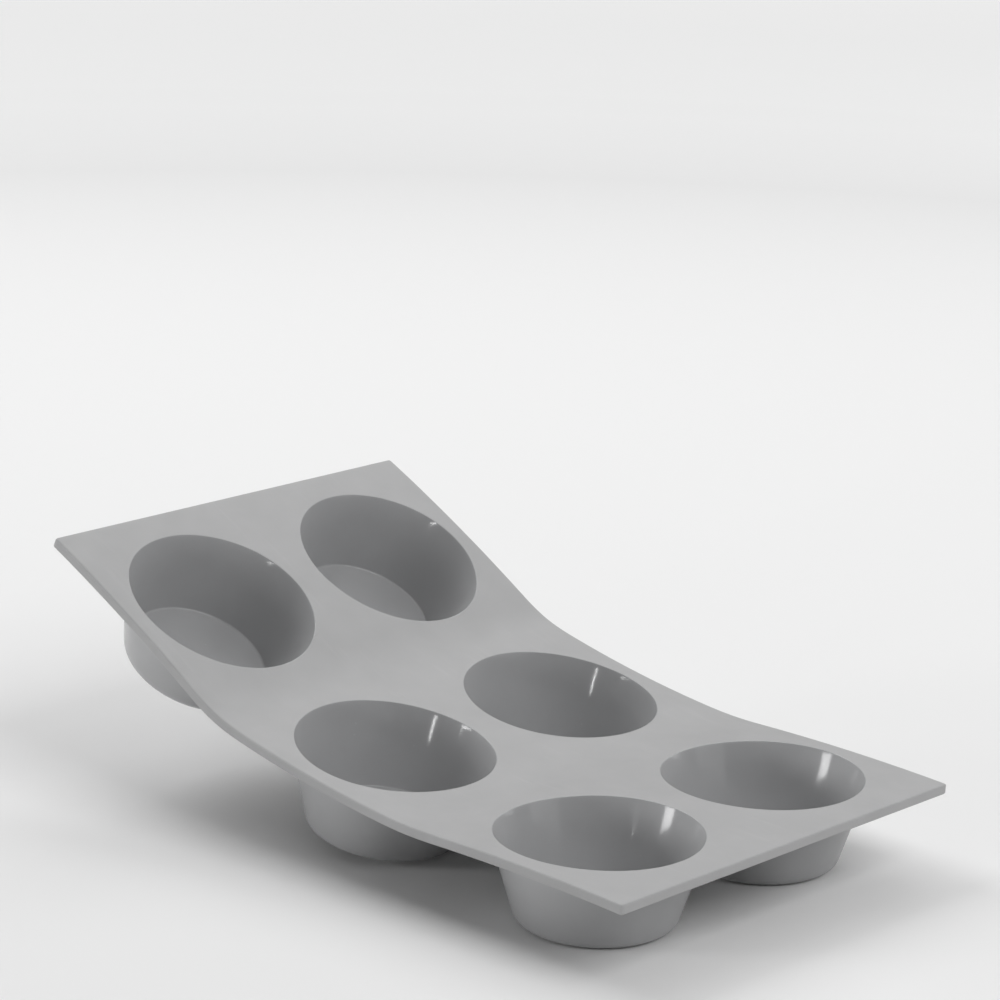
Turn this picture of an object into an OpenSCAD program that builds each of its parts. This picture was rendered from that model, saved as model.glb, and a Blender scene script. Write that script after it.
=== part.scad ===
// Silicone soap mould: one flexible sheet with three rows of two round cups.
// It is drawn as it is held, with row 3 lying flat and row 1 lifted, so the sheet is a chain of
// five arcs: row, web, row, web, row. It is divided where it bends and where its cups press out.
// X runs along the sheet from row 1 to row 3, Y across it and Z up. Z = 0 is under the cups of row 3.

/* [Sheet] */
// Length along the top face
sheet_len = 300; // [292:1:320]
// Width across the rows
sheet_w = 177; // [170:1:200]
// Thickness
sheet_t = 3.8; // [3:0.1:4.2]
// Radius of the four corners, seen from above
corner_r = 1; // [0.5:0.5:8]

/* [Cups] */
// Distance between rows, along the top face
row_pitch = 100; // [98:1:104]
// Distance between the two cups of a row
cup_pitch = 88.5; // [84:0.5:90]
// Radius of the mouth at the top face
mouth_r = 37; // [32:0.5:38]
// Outside height of a cup, from its base to the top face
cup_h = 33; // [28:0.5:36]
// Wall thickness
wall_t = 1.6; // [1.4:0.1:2.4]
// Floor thickness
floor_t = 3; // [2:0.5:4]
// Slope of the wall from the cup's own axis
draft = 17.6; // [12:0.1:19]
// Radius where the wall meets the base, outside
base_fillet = 4.7; // [2:0.1:6]
// Radius where the wall meets the floor, inside
floor_fillet = 1; // [0.6:0.1:4]

/* [Curve of the sheet] */
// Curl of row 1: minus is arched upwards, plus is dished
curl_1 = -6.3; // [-12:0.1:-1]
// Bend of the web between rows 1 and 2
bend_12 = 18.1; // [2:0.1:40]
// Curl of row 2
curl_2 = 7.8; // [1:0.1:12]
// Bend of the web between rows 2 and 3
bend_23 = 7.1; // [2:0.1:40]
// Curl of row 3
curl_3 = -4.7; // [-10:0.1:-1]

/* [Where it bends and presses] */
// Length of a web, between two rows
web_len = 22; // [20:1:24]
// Gap between the two halves of a web at its bend line
bend_gap = 0.3; // [0.2:0.1:0.6]
// Clearance angle of a half web above its middle, for folding up
fold_clear = 53; // [45:1:60]
// Clearance angle of a half web below its middle, for bending back
back_clear = 43; // [35:1:50]
// Radius of the part of a floor that presses up
press_r = 21; // [15:0.5:22]
// Gap around that part
press_gap = 0.3; // [0.2:0.1:0.6]

/* [Hidden] */
$fn = 96;
arc_fn = 1080;       // fragments of a full turn, for the wide arcs of the sheet
over = 4;            // how far a cutter runs past the face it cuts
silicone = [0.69, 0.69, 0.7];

sides = ["front", "back"];
side_y = [-cup_pitch / 2, cup_pitch / 2];
row_seg = [0, 2, 4];                                             // which arc holds each row
row_s = [for (i = [-1:1]) sheet_len / 2 + i * row_pitch];        // middle of each row
bend_s = [for (i = [-1, 1]) sheet_len / 2 + i * row_pitch / 2];  // bend line of each web
end_len = sheet_len / 2 - row_pitch / 2 - web_len / 2;
seg_len = [end_len, web_len, row_pitch - web_len, web_len, end_len];
seg_bend = [curl_1, bend_12, curl_2, bend_23, curl_3];

// Stations s are distances along the top face from the lifted end.
function seg_start(i) = i == 0 ? 0 : seg_start(i - 1) + seg_len[i - 1];
function seg_at(s, i = 4) = i == 0 || s >= seg_start(i) ? i : seg_at(s, i - 1);
function turned(i) = i == 0 ? 0 : turned(i - 1) + seg_bend[i - 1];
function rise(s) = turned(seg_at(s)) + seg_bend[seg_at(s)] * (s - seg_start(seg_at(s))) / seg_len[seg_at(s)];
function slope(s) = rise(s) - rise(row_s[2]);                    // row 3 is level at its middle
function radius(i) = seg_len[i] / (seg_bend[i] * PI / 180);      // plus when its centre is above
function arc_step(i, a, b) = radius(i) * [sin(b) - sin(a), cos(a) - cos(b)];
function seg_pt(i) = i == 0 ? [0, 0] :
    seg_pt(i - 1) + arc_step(i - 1, slope(seg_start(i - 1)), slope(seg_start(i)));
function chain_pt(s) = seg_pt(seg_at(s)) + arc_step(seg_at(s), slope(seg_start(seg_at(s))), slope(s));

low_x = chain_pt(0)[0] + min(0, sheet_t * sin(slope(0)));
high_x = chain_pt(sheet_len)[0] + max(0, sheet_t * sin(slope(sheet_len)));
origin = [(low_x + high_x) / 2, chain_pt(row_s[2])[1] - cup_h];
function top_pt(s) = chain_pt(s) - origin;

// The cup's wall: inside and outside are parallel lines, and each ends in a fillet.
floor_z = cup_h - floor_t;
outer_r = mouth_r + wall_t / cos(draft);
function fillet(line_r, depth, r) = [
    for (a = [-90 : (90 - draft) / 8 : -draft + 0.01])
        [line_r - (depth - r) * tan(draft) - r / cos(draft) + r * cos(a), r - depth + r * sin(a)]
];
function reversed(list) = [for (i = [len(list) - 1 : -1 : 0]) list[i]];

// Children are placed on the top face at station s, with their Z along the face's normal.
module at(s) {
    translate([top_pt(s)[0], 0, top_pt(s)[1]])
        rotate([0, -slope(s), 0])
            children();
}

// The part of the sheet from station s0 to s1, both inside arc i.
module sheet_arc(i, s0, s1) {
    turn = abs(seg_bend[i]) * (s1 - s0) / seg_len[i];
    inner = radius(i) > 0 ? radius(i) : -radius(i) - sheet_t;
    at(radius(i) > 0 ? s0 : s1)
        translate([0, 0, radius(i)])
            rotate([0, radius(i) > 0 ? 90 : -90, 0])
                rotate([90, 0, 0])
                    rotate_extrude(angle = turn, $fn = arc_fn)
                        translate([inner, -sheet_w / 2])
                            square([sheet_t, sheet_w]);
}

// A round cylinder across the sheet whose face is the underside of arc i.
module underside(i, s) {
    at(s)
        translate([0, 0, radius(i)])
            rotate([90, 0, 0])
                cylinder(r = abs(radius(i) + sheet_t), h = sheet_w, center = true, $fn = arc_fn);
}

// Trims what rises above the underside of arc i.
module below_sheet(i, s) {
    if (radius(i) > 0)
        difference() {
            children();
            underside(i, s);
        }
    else
        intersection() {
            children();
            underside(i, s);
        }
}

// What is left over outside the rounded corners at one end of the sheet. way is +1 or -1 along X.
module corner_waste(s, way) {
    at(s)
        for (side = [-1, 1])
            translate([-way * corner_r, side * (sheet_w / 2 - corner_r), -sheet_t / 2])
                difference() {
                    translate([way * over / 2 + way * corner_r / 2, side * (over + corner_r) / 2, 0])
                        cube([corner_r + over, corner_r + over, sheet_t + over], center = true);
                    cylinder(r = corner_r, h = sheet_t + 2 * over, center = true);
                }
}

// One row's stretch of the sheet, with its two mouths.
module sheet_row(row) {
    i = row_seg[row];
    color(silicone)
        difference() {
            sheet_arc(i, seg_start(i), seg_start(i) + seg_len[i]);
            at(row_s[row])
                for (y = side_y)
                    translate([0, y, -sheet_t - over])
                        cylinder(
                            r1 = mouth_r - (sheet_t + over) * tan(draft),
                            r2 = mouth_r + over * tan(draft),
                            h = sheet_t + 2 * over
                        );
            if (row == 0) corner_waste(0, -1);
            if (row == 2) corner_waste(sheet_len, 1);
        }
}

// Half of a web. It ends in a wedge at the bend line, at half the sheet's thickness.
module web_half(web, way) {
    i = 2 * web + 1;
    reach = web_len;
    color(silicone)
        difference() {
            sheet_arc(i, seg_start(i) + (way > 0 ? web_len / 2 : 0), bend_s[web] + (way > 0 ? web_len / 2 : 0));
            at(bend_s[web])
                translate([0, 0, -sheet_t / 2])
                    rotate([90, 0, 0])
                        linear_extrude(sheet_w + over, center = true)
                            polygon([
                                [way * bend_gap / 2, 0],
                                [way * (bend_gap / 2 + over * tan(fold_clear)), over],
                                [-way * reach, over],
                                [-way * reach, -over],
                                [way * (bend_gap / 2 + over * tan(back_clear)), -over]
                            ]);
        }
}

// The tapered wall under a mouth, down to the flat ring around the pressing part of the floor.
module cup_wall(row, side) {
    ring_r = press_r + press_gap;
    color(silicone)
        below_sheet(row_seg[row], row_s[row])
            at(row_s[row])
                translate([0, side_y[side], 0])
                    rotate_extrude()
                        polygon(concat(
                            [[ring_r, -cup_h]],
                            fillet(outer_r, cup_h, base_fillet),
                            [[outer_r + over * tan(draft), over], [mouth_r + over * tan(draft), over]],
                            reversed(fillet(mouth_r, floor_z, floor_fillet)),
                            [[ring_r, -floor_z]]
                        ));
}

// The flat middle of a cup's floor, which is pressed up to push the soap out.
module cup_floor(row, side) {
    color(silicone)
        at(row_s[row])
            translate([0, side_y[side], -cup_h])
                cylinder(r = press_r, h = floor_t);
}

for (row = [0:2])
    sheet_row(row);

web_half(0, -1);  // web_1_2_lifted_half
web_half(0, 1);  // web_1_2_middle_half
web_half(1, -1);  // web_2_3_middle_half
web_half(1, 1);  // web_2_3_resting_half

for (row = [0:2], side = [0:1]) {
    cup_wall(row, side);
    cup_floor(row, side);
}
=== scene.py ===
"""Silicone soap mould: the visual model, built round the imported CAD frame.

The geometry is worked out in millimetres and degrees, as in the CAD, and becomes metres in new_piece().
Flat coordinates (s, y, n) are those of the sheet before it is bent: s along its top face from the
lifted end, y across it, and n the height above its top face, so minus is below it.
"""

import math

import bmesh
import bpy
import numpy as np
from mathutils import Matrix, Vector


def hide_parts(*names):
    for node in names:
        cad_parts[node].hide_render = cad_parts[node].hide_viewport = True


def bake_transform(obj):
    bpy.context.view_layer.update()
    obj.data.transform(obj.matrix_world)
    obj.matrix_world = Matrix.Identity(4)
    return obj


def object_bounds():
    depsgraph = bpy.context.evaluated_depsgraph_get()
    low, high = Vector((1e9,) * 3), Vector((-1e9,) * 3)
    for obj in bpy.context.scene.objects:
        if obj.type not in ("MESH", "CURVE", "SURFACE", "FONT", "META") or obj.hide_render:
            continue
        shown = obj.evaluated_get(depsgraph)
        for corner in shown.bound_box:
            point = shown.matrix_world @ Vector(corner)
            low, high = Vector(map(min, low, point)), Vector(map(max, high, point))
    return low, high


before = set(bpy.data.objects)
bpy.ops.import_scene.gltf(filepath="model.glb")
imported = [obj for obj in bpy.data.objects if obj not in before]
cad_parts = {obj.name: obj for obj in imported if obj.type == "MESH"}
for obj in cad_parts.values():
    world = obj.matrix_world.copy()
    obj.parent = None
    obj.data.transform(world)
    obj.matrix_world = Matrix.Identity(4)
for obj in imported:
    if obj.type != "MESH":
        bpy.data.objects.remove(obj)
cad_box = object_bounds()
MM = 0.001

# Driving sizes, the same as the CAD's
SHEET_LEN, SHEET_W, SHEET_T = 300.0, 177.0, 3.8
CORNER_R = 1.0
ROW_PITCH, CUP_PITCH = 100.0, 88.5
MOUTH_R, CUP_H = 37.0, 33.0
WALL_T, FLOOR_T = 1.6, 3.0
DRAFT = math.radians(17.6)
BASE_FILLET, FLOOR_FILLET = 4.7, 1.0
WEB_LEN = 22.0
BENDS = (-6.3, 18.1, 7.8, 7.1, -4.7)  # row 1, web, row 2, web, row 3

# Finishing sizes that the CAD leaves out
EDGE_R = 0.6       # rounding of the sheet's outer edges
RIM_R = 0.35       # rounding of a mouth's edge
UNDER_R = 0.8      # fillet between a cup and the sheet's underside
EASE = 7.0         # how far the five arcs ease into each other
GRIP = 1.5         # how far the first sheet reaches past row 2's mouths, to the seam
BENT_DEPTH = 12.0  # below this depth a cup keeps its round shape, whatever the sheet's curve

# How finely the skins are divided
CURVE_STEP = 0.25  # between two stations of the sheet's curve
FACE_RINGS = 12    # rings of quads from a mouth out to the edge of its share of the sheet
CUP_SPOKES = 144   # points round a cup
EDGE_STEPS = 6     # points round the edge of the top face, and again round the underside's
SAME = 1e-6        # points less than this apart are in one place
TINY = 1e-9        # keeps a division away from zero

ROW_S = [SHEET_LEN / 2 + i * ROW_PITCH for i in (-1, 0, 1)]
CUP_Y = {"front": -CUP_PITCH / 2, "back": CUP_PITCH / 2}
END_LEN = SHEET_LEN / 2 - ROW_PITCH / 2 - WEB_LEN / 2
ARC_LEN = np.array([END_LEN, WEB_LEN, ROW_PITCH - WEB_LEN, WEB_LEN, END_LEN])
SEAM_S = ROW_S[1] + MOUTH_R + GRIP
FLOOR_D = CUP_H - FLOOR_T
COS, RIGHT = math.cos(DRAFT), math.pi / 2
OUTER_R = MOUTH_R + WALL_T / COS


# ---------------------------------------------------------------- the sheet's curve

def eased(values, width):
    """Values smoothed by a triangle that reaches width places to either side."""
    kernel = np.convolve(np.ones(width), np.ones(width))
    padded = np.pad(values, len(kernel) // 2, mode="reflect", reflect_type="odd")
    return np.convolve(padded, kernel / kernel.sum(), mode="valid")


def sheet_curve():
    """Stations, and the x, z and slope of the top face there: the CAD's arcs, eased into each other."""
    s = np.arange(-2 * EASE, SHEET_LEN + 2 * EASE + CURVE_STEP / 2, CURVE_STEP)
    ends = np.concatenate([[0.0], np.cumsum(ARC_LEN)])
    turned_by = np.concatenate([[0.0], np.cumsum(BENDS)])
    before, after = np.minimum(s, 0), np.maximum(s - SHEET_LEN, 0)
    slope = np.interp(s, ends, turned_by)
    slope += before * BENDS[0] / ARC_LEN[0] + after * BENDS[4] / ARC_LEN[4]
    slope = eased(slope, int(EASE / CURVE_STEP))
    slope = np.radians(slope - np.interp(ROW_S[2], s, slope))
    halfway = (slope[1:] + slope[:-1]) / 2
    x = np.concatenate([[0.0], np.cumsum(np.cos(halfway)) * CURVE_STEP])
    z = np.concatenate([[0.0], np.cumsum(np.sin(halfway)) * CURVE_STEP])
    lifted_x = np.interp(0, s, x) + SHEET_T * math.sin(np.interp(0, s, slope))
    x -= (lifted_x + np.interp(SHEET_LEN, s, x)) / 2
    z += CUP_H - np.interp(ROW_S[2], s, z)
    return s, x, z, slope


CURVE = sheet_curve()


def curve_at(s):
    """x, z and slope of the top face at stations s."""
    return [np.interp(s, CURVE[0], values) for values in CURVE[1:]]


def bent(flat):
    """Flat points, moved to where the bent sheet has them."""
    x, z, slope = curve_at(flat[:, 0])
    n = flat[:, 2]
    return np.column_stack([x - n * np.sin(slope), flat[:, 1], z + n * np.cos(slope)])


def rigid(flat, s_row):
    """Flat points, moved as one with the sheet at station s_row."""
    x, z, slope = curve_at(s_row)
    along, n = flat[:, 0] - s_row, flat[:, 2]
    return np.column_stack([
        x + along * np.cos(slope) - n * np.sin(slope),
        flat[:, 1],
        z + along * np.sin(slope) + n * np.cos(slope),
    ])


# ---------------------------------------------------------------- meshes

def face_outwards(mesh):
    """Turns every face of a closed mesh outwards."""
    bm = bmesh.new()
    bm.from_mesh(mesh)
    bmesh.ops.recalc_face_normals(bm, faces=bm.faces)
    bm.to_mesh(mesh)
    bm.free()
    mesh.update()


def new_piece(name, points, faces, flat, uv=None, sharp=40):
    """A closed mesh object with smooth faces, sharp creases and its flat coordinates as an attribute."""
    mesh = bpy.data.meshes.new(name)
    mesh.from_pydata([tuple(p) for p in np.asarray(points) * MM], [], faces)
    mesh.update()
    piece = bpy.data.objects.new(name, mesh)
    bpy.context.scene.collection.objects.link(piece)
    if uv is not None:
        layer = mesh.uv_layers.new(name="around")
        layer.data.foreach_set("uv", np.asarray(uv, np.float32).ravel())
    face_outwards(mesh)
    mesh.shade_smooth()
    mesh.set_sharp_from_angle(angle=math.radians(sharp))
    attribute = mesh.attributes.new("flat", "FLOAT_VECTOR", "POINT")
    attribute.data.foreach_set("vector", np.asarray(flat, np.float32).ravel())
    return piece


def ring_faces(count, rings):
    """Quads between neighbouring rings of count points, for this many rings of quads."""
    faces = []
    for r in range(rings):
        for k in range(count):
            a, b = r * count + k, r * count + (k + 1) % count
            faces.append((a, a + count, b + count, b))
    return faces


def wall_r(top_r, depth):
    """Radius of a wall face at a depth, from its radius at the top face."""
    return top_r - depth * math.tan(DRAFT)


# Where a mouth's rounding meets the top face, and where a cup's fillet meets the underside
RIM_TOP_R = wall_r(MOUTH_R, RIM_R) + RIM_R / COS
UNDER_TOP_R = wall_r(OUTER_R, SHEET_T + UNDER_R) + UNDER_R / COS


# ---------------------------------------------------------------- the sheet

def spaced(low, high, fine=0.5, n_fine=4, step=2.2):
    """Positions from low to high, closer together next to both ends."""
    ends = fine * np.arange(n_fine)
    reach = fine * n_fine
    middle = np.linspace(low + reach, high - reach, round((high - low - 2 * reach) / step) + 1)
    return np.concatenate([low + ends, middle, (high - ends)[::-1]])


def mouth_cell(s_list, y_list, centre, hole_r):
    """Rings of points from a round hole out to a rectangle, and the quads between them."""
    around = (
        [(s, y_list[0]) for s in s_list[:-1]]
        + [(s_list[-1], y) for y in y_list[:-1]]
        + [(s, y_list[-1]) for s in s_list[:0:-1]]
        + [(s_list[0], y) for y in y_list[:0:-1]]
    )
    outer = np.array(around)
    spoke = outer - centre
    inner = centre + hole_r * spoke / np.linalg.norm(spoke, axis=1)[:, None]
    steps = np.linspace(0, 1, FACE_RINGS + 1)[:, None, None]
    return (inner + steps * (outer - inner)).reshape(-1, 2), ring_faces(len(outer), FACE_RINGS)


def plain_cell(s_list, y_list):
    """A grid of points over a rectangle, and its quads."""
    count = len(y_list)
    points = np.array([(s, y) for s in s_list for y in y_list])
    corners = [i * count + k for i in range(len(s_list) - 1) for k in range(count - 1)]
    return points, [(v, v + count, v + count + 1, v + 1) for v in corners]


def face_grid(low_s, high_s, rows, hole_r):
    """A face of the sheet from station low_s to high_s, with round holes: its points and its quads."""
    half = SHEET_W / 2 - EDGE_R
    joins = [s + ROW_PITCH / 2 for s in ROW_S[:-1]]
    edges = [low_s] + [s for s in joins if low_s < s < high_s] + [high_s]
    points, faces, start = [], [], 0
    for low, high in zip(edges[:-1], edges[1:]):
        s_list = spaced(low, high)
        cup_s = [s for s in rows if low < s < high]
        for y_low, y_high, y_cup in ((-half, 0.0, CUP_Y["front"]), (0.0, half, CUP_Y["back"])):
            y_list = spaced(y_low, y_high)
            if cup_s:
                cell, quads = mouth_cell(s_list, y_list, np.array([cup_s[0], y_cup]), hole_r)
            else:
                cell, quads = plain_cell(s_list, y_list)
            points.append(cell)
            faces += [tuple(start + v for v in quad) for quad in quads]
            start += len(cell)
    return np.concatenate(points), faces


def merged(points, faces, places_per_mm=1e4):
    """Joins points in the same place. Returns which points to keep, and the faces between those."""
    keys = np.round(points * places_per_mm).astype(np.int64)
    _, keep, which = np.unique(keys, axis=0, return_index=True, return_inverse=True)
    which = which.ravel()
    return keep, [tuple(int(which[v]) for v in face) for face in faces]


def corner_centres(points):
    """For each point, the nearest place that is at least the corners' radius inside the outline."""
    low = (CORNER_R, CORNER_R - SHEET_W / 2)
    high = (SHEET_LEN - CORNER_R, SHEET_W / 2 - CORNER_R)
    return np.clip(points, low, high)


def round_corners(points):
    """Pulls the square corners of the inset sheet in to their radius."""
    centre = corner_centres(points)
    arm = points - centre
    length = np.linalg.norm(arm, axis=1)
    at_corner = (np.abs(arm) > TINY).all(axis=1)
    scale = np.where(at_corner, np.abs(arm).max(axis=1) / np.maximum(length, TINY), 1.0)
    return centre + arm * scale[:, None]


def border_edges(faces):
    """The edges that only one face has, each the way round that its face has it."""
    edges = [edge for face in faces for edge in zip(face, face[1:] + face[:1])]
    known = set(edges)
    return [(a, b) for a, b in edges if (b, a) not in known]


def on_seam(point):
    """Whether a point of the top face is at the seam between the two sheets."""
    return abs(point[0] - SEAM_S) < SAME


def on_mouth(point, rows):
    """Whether a point of the top face is on the edge of a mouth in one of these rows."""
    reach = [math.hypot(point[0] - s, point[1] - y) for s in rows for y in CUP_Y.values()]
    return any(abs(r - RIM_TOP_R) < SAME for r in reach)


def edge_section():
    """Steps of the outer edge from the top face round to the underside: how far out, and n."""
    turn = np.radians(np.linspace(0, 90, EDGE_STEPS))
    out, down = EDGE_R * np.sin(turn), EDGE_R * (1 - np.cos(turn))
    return list(zip(out, -down)) + list(zip(out[::-1], down[::-1] - SHEET_T))


def rounding_points(point, rows, section):
    """The points round the outer edge at a border point: none at a mouth or along the seam."""
    at_side = abs(abs(point[1]) - SHEET_W / 2 + EDGE_R) < SAME
    if on_mouth(point, rows) or (on_seam(point) and not at_side):
        return []
    way = point - corner_centres(point)
    way = way / np.linalg.norm(way)
    return [(*(point + out * way), n) for out, n in section[1:-1]]


def sheet_piece(name, low_s, high_s, rows):
    """A stretch of the sheet with its mouths. Its outer edges are rounded, and a seam end is flat."""
    inset_low = low_s + (EDGE_R if low_s == 0 else 0)
    inset_high = high_s - (EDGE_R if high_s == SHEET_LEN else 0)
    top, faces = face_grid(inset_low, inset_high, rows, RIM_TOP_R)
    under, _ = face_grid(inset_low, inset_high, rows, UNDER_TOP_R)
    keep, faces = merged(top, faces)
    top, under = round_corners(top[keep]), round_corners(under[keep])
    count = len(top)
    flat = [(s, y, 0.0) for s, y in top] + [(s, y, -SHEET_T) for s, y in under]
    border = border_edges(faces)
    closed = faces + [tuple(v + count for v in face[::-1]) for face in faces]

    section = edge_section()
    columns = {}
    for v in {v for edge in border for v in edge}:
        between = rounding_points(top[v], rows, section)
        columns[v] = [v, *range(len(flat), len(flat) + len(between)), v + count]
        flat += between
        if between and on_seam(top[v]):
            closed.append(tuple(columns[v]))
    for a, b in border:
        if on_seam(top[a]) and on_seam(top[b]):
            left, right = [a, a + count], [b, b + count]
        else:
            left, right = columns[a], columns[b]
        closed += [(right[i], left[i], left[i + 1], right[i + 1]) for i in range(len(left) - 1)]
    flat = np.array(flat)
    return new_piece(name, bent(flat), closed, flat)


# ---------------------------------------------------------------- the cups

def arc(centre, radius, start, end, count):
    """Points on an arc of the (r, depth) section, from one angle to another."""
    turn = np.linspace(start, end, count)
    return [(centre[0] + radius * math.cos(t), centre[1] + radius * math.sin(t)) for t in turn]


def section_line(start, end, count):
    """Points inside the straight line from start to end."""
    steps = np.linspace(0, 1, count + 2)[1:-1]
    return [(start[0] + (end[0] - start[0]) * t, start[1] + (end[1] - start[1]) * t) for t in steps]


def cup_section():
    """The cup's section from its floor's middle, up inside, over, down outside, to its base's middle."""
    floor = (wall_r(MOUTH_R, FLOOR_D - FLOOR_FILLET) - FLOOR_FILLET / COS, FLOOR_D - FLOOR_FILLET)
    base = (wall_r(OUTER_R, CUP_H - BASE_FILLET) - BASE_FILLET / COS, CUP_H - BASE_FILLET)
    rim = (RIM_TOP_R, RIM_R)
    under = (UNDER_TOP_R, SHEET_T + UNDER_R)
    floor_arc = arc(floor, FLOOR_FILLET, RIGHT, DRAFT, 8)
    rim_arc = arc(rim, RIM_R, math.pi + DRAFT, 3 * RIGHT, 5)
    under_arc = arc(under, UNDER_R, 3 * RIGHT, math.pi + DRAFT, 6)
    base_arc = arc(base, BASE_FILLET, DRAFT, RIGHT, 10)
    return np.array(
        section_line((0, FLOOR_D), floor_arc[0], 9) + floor_arc
        + section_line(floor_arc[-1], rim_arc[0], 16) + rim_arc
        + section_line(rim_arc[-1], under_arc[0], 1) + under_arc
        + section_line(under_arc[-1], base_arc[0], 14) + base_arc
        + section_line(base_arc[-1], (0, CUP_H), 7)
    )


def section_lengths(section):
    """How far along the section each of its points is, from the middle of the floor."""
    steps = np.linalg.norm(np.diff(section, axis=0), axis=1)
    return section[0, 0] + np.concatenate([[0], np.cumsum(steps)])


def cup_faces(section):
    """The faces of a cup's skin, and their UV corners: the turn round the axis, and the length along.

    The points are a ring for each point of the section, then the floor's middle and the base's.
    """
    along = section_lengths(section)
    rings, count = len(section), CUP_SPOKES
    faces, uv = ring_faces(count, rings - 1), []
    for low, high in zip(along[:-1], along[1:]):
        for k in range(count):
            here, there = k / count, (k + 1) / count
            uv += [(here, low), (here, high), (there, high), (there, low)]
    floor_middle, base_middle, last = rings * count, rings * count + 1, (rings - 1) * count
    end = along[-1] + section[-1, 0]
    for k in range(count):
        here, between, there = k / count, (k + 0.5) / count, (k + 1) / count
        faces.append((floor_middle, k, (k + 1) % count))
        uv += [(between, 0), (here, along[0]), (there, along[0])]
        faces.append((last + k, base_middle, last + (k + 1) % count))
        uv += [(here, along[-1]), (between, end), (there, along[-1])]
    return faces, uv


def cup_piece(name, row, side):
    """One cup: its wall inside and out, its floor and its rim, as one closed skin."""
    section = cup_section()
    s_row, y_cup = ROW_S[row], CUP_Y[side]
    turn = np.arange(CUP_SPOKES) * 2 * math.pi / CUP_SPOKES
    r, depth = section[:, 0:1], section[:, 1:2]
    rings = np.stack([s_row + r * np.cos(turn), y_cup + r * np.sin(turn), -depth + 0 * turn], axis=2)
    middles = np.array([(s_row, y_cup, -FLOOR_D), (s_row, y_cup, -CUP_H)])
    flat = np.concatenate([rings.reshape(-1, 3), middles])
    below = np.clip((-flat[:, 2] - SHEET_T) / (BENT_DEPTH - SHEET_T), 0, 1)
    keep = (below * below * (3 - 2 * below))[:, None]
    points = bent(flat) * (1 - keep) + rigid(flat, s_row) * keep
    faces, uv = cup_faces(section)
    return new_piece(name, points, faces, flat, uv)


# ---------------------------------------------------------------- shader nodes

def node(tree, kind, **settings):
    """Adds a shader node. Keywords with a capital set an input, and the others a property."""
    made = tree.nodes.new(kind)
    for key, value in settings.items():
        if key[0].isupper():
            made.inputs[key.replace("_", " ")].default_value = value
        else:
            setattr(made, key, value)
    return made


def ramp(tree, source, low, high, out_low, out_high):
    """Maps a value from one range to another, clamped."""
    made = node(tree, "ShaderNodeMapRange")
    for index, value in enumerate((low, high, out_low, out_high), 1):
        made.inputs[index].default_value = value
    tree.links.new(source, made.inputs[0])
    return made.outputs[0]


def math_node(tree, operation, a, b):
    """Adds or multiplies two values, where each is a socket or a number."""
    made = node(tree, "ShaderNodeMath", operation=operation)
    for socket, value in zip(made.inputs, (a, b)):
        if isinstance(value, (int, float)):
            socket.default_value = value
        else:
            tree.links.new(value, socket)
    return made.outputs[0]


def noise(tree, vector, scale, detail=3.0):
    """Noise over the flat coordinates, with scale in features per millimetre."""
    made = node(tree, "ShaderNodeTexNoise", Scale=scale, Detail=detail)
    tree.links.new(vector, made.inputs["Vector"])
    return made.outputs["Fac"]


def bump(tree, height, strength, distance, base=None):
    """A normal bumped by a height, on top of the normal of another bump if one is given."""
    made = node(tree, "ShaderNodeBump", Strength=strength, Distance=distance)
    tree.links.new(height, made.inputs["Height"])
    if base is not None:
        tree.links.new(base, made.inputs["Normal"])
    return made.outputs["Normal"]


# ---------------------------------------------------------------- materials

def specks(tree, flat):
    """Small scattered specks of dust, from 0 to 1."""
    cells = node(tree, "ShaderNodeTexVoronoi", Scale=0.11)
    tree.links.new(flat, cells.inputs["Vector"])
    return ramp(tree, cells.outputs["Distance"], 0.02, 0.05, 1.0, 0.0)


def painted_sheen_streaks(tree, flat):
    """Faint broken lighter streaks that run slantwise over the flat sheet, from 0 to 1. They are painted
    sheen, not marks in the silicone.
    """
    slant = node(tree, "ShaderNodeMapping", Rotation=(0, 0, math.radians(35)), Scale=(0.03, 0.35, 1))
    tree.links.new(flat, slant.inputs["Vector"])
    marks = ramp(tree, noise(tree, slant.outputs["Vector"], 1.0, 2.0), 0.56, 0.74, 0.0, 1.0)
    patches = ramp(tree, noise(tree, flat, 0.03, 1.0), 0.45, 0.65, 0.0, 1.0)
    return math_node(tree, "MULTIPLY", marks, patches)


def tinted(tree, grey, tone):
    """A colour, lightened or darkened by a tone."""
    made = node(tree, "ShaderNodeMix", data_type="RGBA", blend_type="MULTIPLY")
    made.inputs[0].default_value = 1.0
    made.inputs[6].default_value = (*grey, 1.0)
    tree.links.new(tone, made.inputs[7])
    return made.outputs[2]


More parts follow.
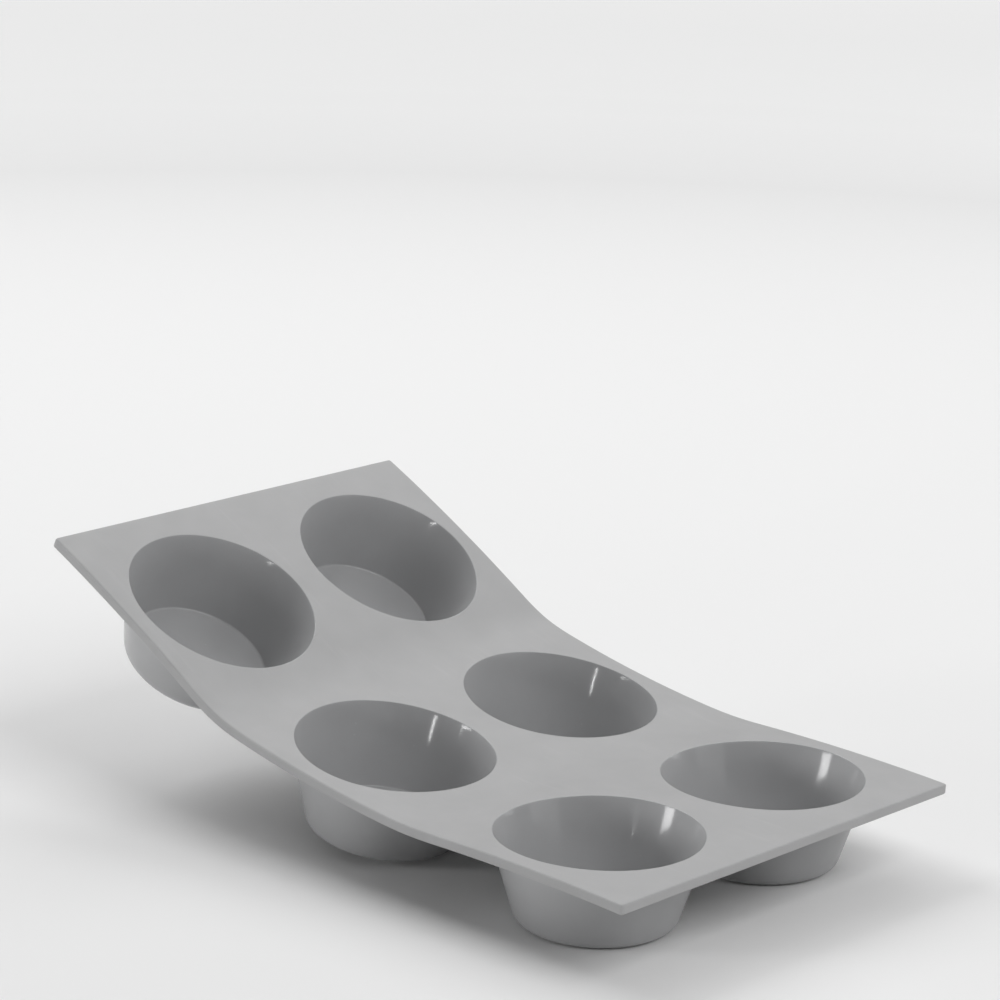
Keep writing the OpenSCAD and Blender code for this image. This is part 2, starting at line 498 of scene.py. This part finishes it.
def silicone(name, grey, rough, sheen_streaked=False):
    """Grey moulded silicone, with fine grain, faint mottling, specks of dust and perhaps lighter streaks
    of painted sheen.
    """
    material = bpy.data.materials.new(name)
    material.use_nodes = True
    tree = material.node_tree
    shader = tree.nodes["Principled BSDF"]
    flat = node(tree, "ShaderNodeAttribute", attribute_name="flat").outputs["Vector"]
    grain = noise(tree, flat, 2.2, 2.0)
    speck = specks(tree, flat)

    mottling = ramp(tree, noise(tree, flat, 0.045, 4.0), 0.3, 0.7, 0.965, 1.03)
    tone = math_node(tree, "ADD", mottling, ramp(tree, grain, 0.3, 0.7, -0.012, 0.012))
    tone = math_node(tree, "ADD", tone, math_node(tree, "MULTIPLY", speck, 0.12))
    # Painted sheen: faint lighter slantwise streaks added to the colour, standing in for the sheet's
    # soft sheen
    if sheen_streaked:
        tone = math_node(tree, "ADD", tone, math_node(tree, "MULTIPLY", painted_sheen_streaks(tree, flat), 0.05))
    tree.links.new(tinted(tree, grey, tone), shader.inputs["Base Color"])

    patchy = ramp(tree, noise(tree, flat, 0.12), 0.3, 0.7, rough - 0.03, rough + 0.04)
    dusty = math_node(tree, "MULTIPLY", speck, 0.2)
    tree.links.new(math_node(tree, "ADD", patchy, dusty), shader.inputs["Roughness"])

    waves = bump(tree, noise(tree, flat, 0.05, 1.0), 0.25, 0.0006)
    tree.links.new(bump(tree, grain, 0.12, 0.00006, waves), shader.inputs["Normal"])
    shader.inputs["IOR"].default_value = 1.43
    shader.inputs["Sheen Weight"].default_value = 0.12
    shader.inputs["Sheen Roughness"].default_value = 0.5
    return material


def turned(material):
    """Gives silicone the turning marks and the stretched gloss that a turned tool leaves in a cup."""
    tree = material.node_tree
    shader = tree.nodes["Principled BSDF"]
    split = node(tree, "ShaderNodeSeparateXYZ")
    tree.links.new(node(tree, "ShaderNodeUVMap", uv_map="around").outputs["UV"], split.inputs[0])
    rings = node(tree, "ShaderNodeTexNoise", noise_dimensions="1D", Scale=2.5, Detail=2.0)
    tree.links.new(split.outputs["Y"], rings.inputs["W"])
    skin = shader.inputs["Normal"].links[0].from_socket
    marks = bump(tree, rings.outputs["Fac"], 0.15, 0.00004, skin)
    tree.links.new(marks, shader.inputs["Normal"])
    tangent = node(tree, "ShaderNodeTangent", direction_type="UV_MAP", uv_map="around")
    tree.links.new(tangent.outputs[0], shader.inputs["Tangent"])
    shader.inputs["Anisotropic"].default_value = 0.95
    shader.inputs["Coat Weight"].default_value = 0.7
    shader.inputs["Coat Roughness"].default_value = 0.12
    shader.inputs["Coat IOR"].default_value = 1.43
    return material


# ---------------------------------------------------------------- floor, light and camera

def floor_material():
    """Matt and pale. It glows past the lights' reach, so that it stays pale to the horizon."""
    material = bpy.data.materials.new("pale_floor")
    material.use_nodes = True
    tree = material.node_tree
    shader = tree.nodes["Principled BSDF"]
    shader.inputs["Base Color"].default_value = (0.8, 0.8, 0.8, 1)
    shader.inputs["Roughness"].default_value = 0.9
    shader.inputs["Specular IOR Level"].default_value = 0.0
    shader.inputs["Emission Color"].default_value = (1, 1, 1, 1)
    away = node(tree, "ShaderNodeVectorMath", operation="LENGTH")
    tree.links.new(node(tree, "ShaderNodeTexCoord").outputs["Object"], away.inputs[0])
    glow = ramp(tree, away.outputs["Value"], 1.3, 2.8, 0.0, 0.85)
    tree.links.new(glow, shader.inputs["Emission Strength"])
    return material


def studio_floor(reach=12.0, drop=0.0002):
    """A plain floor that reaches this far each way, a hair below the mould's lowest point."""
    corners = [(x * reach, y * reach, -drop) for x, y in ((-1, -1), (1, -1), (1, 1), (-1, 1))]
    mesh = bpy.data.meshes.new("studio_floor")
    mesh.from_pydata(corners, [], [(0, 1, 2, 3)])
    mesh.materials.append(floor_material())
    floor = bpy.data.objects.new("studio_floor", mesh)
    bpy.context.scene.collection.objects.link(floor)


def direction(azimuth, elevation):
    """The way from the mould to a light or camera. Azimuth 0 is in front, at -Y, and 90 is at +X."""
    a, e = math.radians(azimuth), math.radians(elevation)
    return Vector((math.sin(a) * math.cos(e), -math.cos(a) * math.cos(e), math.sin(e)))


def area_light(name, azimuth, elevation, distance, size, watts):
    """A rectangular light aimed at the mould's middle."""
    back = direction(azimuth, elevation)
    data = bpy.data.lights.new(name, "AREA")
    data.shape = "RECTANGLE"
    data.size, data.size_y = size
    data.energy = watts
    light = bpy.data.objects.new(name, data)
    light.location = (cad_box[0] + cad_box[1]) / 2 + back * distance
    light.rotation_mode = "QUATERNION"
    light.rotation_quaternion = (-back).to_track_quat("-Z", "Y")
    bpy.context.scene.collection.objects.link(light)


def world_light(seen, fill):
    """Even light from all round, with a brighter backdrop where the camera sees it."""
    world = bpy.data.worlds.new("studio")
    world.use_nodes = True
    tree = world.node_tree
    background = tree.nodes["Background"]
    background.inputs["Color"].default_value = (1, 1, 1, 1)
    path = node(tree, "ShaderNodeLightPath")
    strength = ramp(tree, path.outputs["Is Camera Ray"], 0, 1, fill, seen)
    tree.links.new(strength, background.inputs["Strength"])
    bpy.context.scene.world = world


def photo_camera(azimuth, elevation, roll, distance, lens, aim_right, aim_up):
    """The camera at the photo's viewing angle, aimed this far right of and above the mould's middle."""
    back = direction(azimuth, elevation)
    right = Vector((math.cos(math.radians(azimuth)), math.sin(math.radians(azimuth)), 0))
    up = back.cross(right)
    cos, sin = math.cos(math.radians(roll)), math.sin(math.radians(roll))
    turn = Matrix((right * cos + up * sin, up * cos - right * sin, back)).transposed().to_4x4()
    place = (cad_box[0] + cad_box[1]) / 2 + (right * aim_right + up * aim_up + back * distance) * MM
    camera = bpy.data.objects.new("camera", bpy.data.cameras.new("camera"))
    camera.data.sensor_width = 36
    camera.data.lens = lens
    camera.matrix_world = Matrix.Translation(place) @ turn
    bpy.context.scene.collection.objects.link(camera)
    bpy.context.scene.camera = camera


# ---------------------------------------------------------------- the mould

# The sheet's colour carries painted sheen streaks
sheet_material = silicone("silicone_sheet", (0.36, 0.36, 0.363), 0.48, sheen_streaked=True)
cup_material = turned(silicone("silicone_cup", (0.358, 0.36, 0.366), 0.45))

lifted_sheet = sheet_piece("sheet_rows_1_and_2", 0, SEAM_S, ROW_S[:2])
resting_sheet = sheet_piece("sheet_row_3_and_web", SEAM_S, SHEET_LEN, ROW_S[2:])
for piece, first, second, bend_s, nodes in (
    (lifted_sheet, "row_1", "row_2", ROW_S[1] - ROW_PITCH / 2,
     ("sheet_row_1", "web_1_2_lifted_half", "web_1_2_middle_half", "sheet_row_2")),
    (resting_sheet, "row_2", "row_3", ROW_S[1] + ROW_PITCH / 2,
     ("web_2_3_middle_half", "web_2_3_resting_half", "sheet_row_3")),
):
    piece.data.materials.append(sheet_material)
    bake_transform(piece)
    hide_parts(*nodes)

for row in range(3):
    for side in CUP_Y:
        place = f"{row + 1}_{side}"
        cup = cup_piece(f"cup_{place}", row, side)
        cup.data.materials.append(cup_material)
        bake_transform(cup)
        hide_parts(f"cup_wall_{place}", f"cup_floor_{place}")


# ---------------------------------------------------------------- the studio

LIGHTS = (
    # name, azimuth, elevation, distance, (width, height) and watts
    ("top", 0, 88, 2.0, (1.6, 1.6), 3.8),
    ("right", 90, 45, 2.0, (1.2, 1.2), 17.7),
    ("left", -90, 45, 2.0, (1.2, 1.2), 17.5),
    ("back_left", -150, 45, 2.0, (1.2, 1.2), 11.4),
    ("back_right", 150, 45, 2.0, (1.2, 1.2), 4.0),
    ("front", 0, 45, 2.0, (1.2, 1.2), 1.6),
    ("low_right", 105, 14, 2.0, (1.2, 0.8), 3.5),
    ("low_back", 165, 14, 2.0, (1.4, 0.8), 6.5),
    ("strip", 3, 5, 1.8, (0.018, 0.36), 2.8),
    ("window", -37, 9, 1.8, (0.38, 0.4), 8.5),
)

studio_floor()
world_light(seen=0.9, fill=0.03)
for light in LIGHTS:
    area_light(*light)
photo_camera(
    azimuth=42.9, elevation=15.48, roll=1.82, distance=1411.8, lens=137.75, aim_right=1.0, aim_up=73.7,
)
bpy.context.scene.view_settings.view_transform = "Standard"
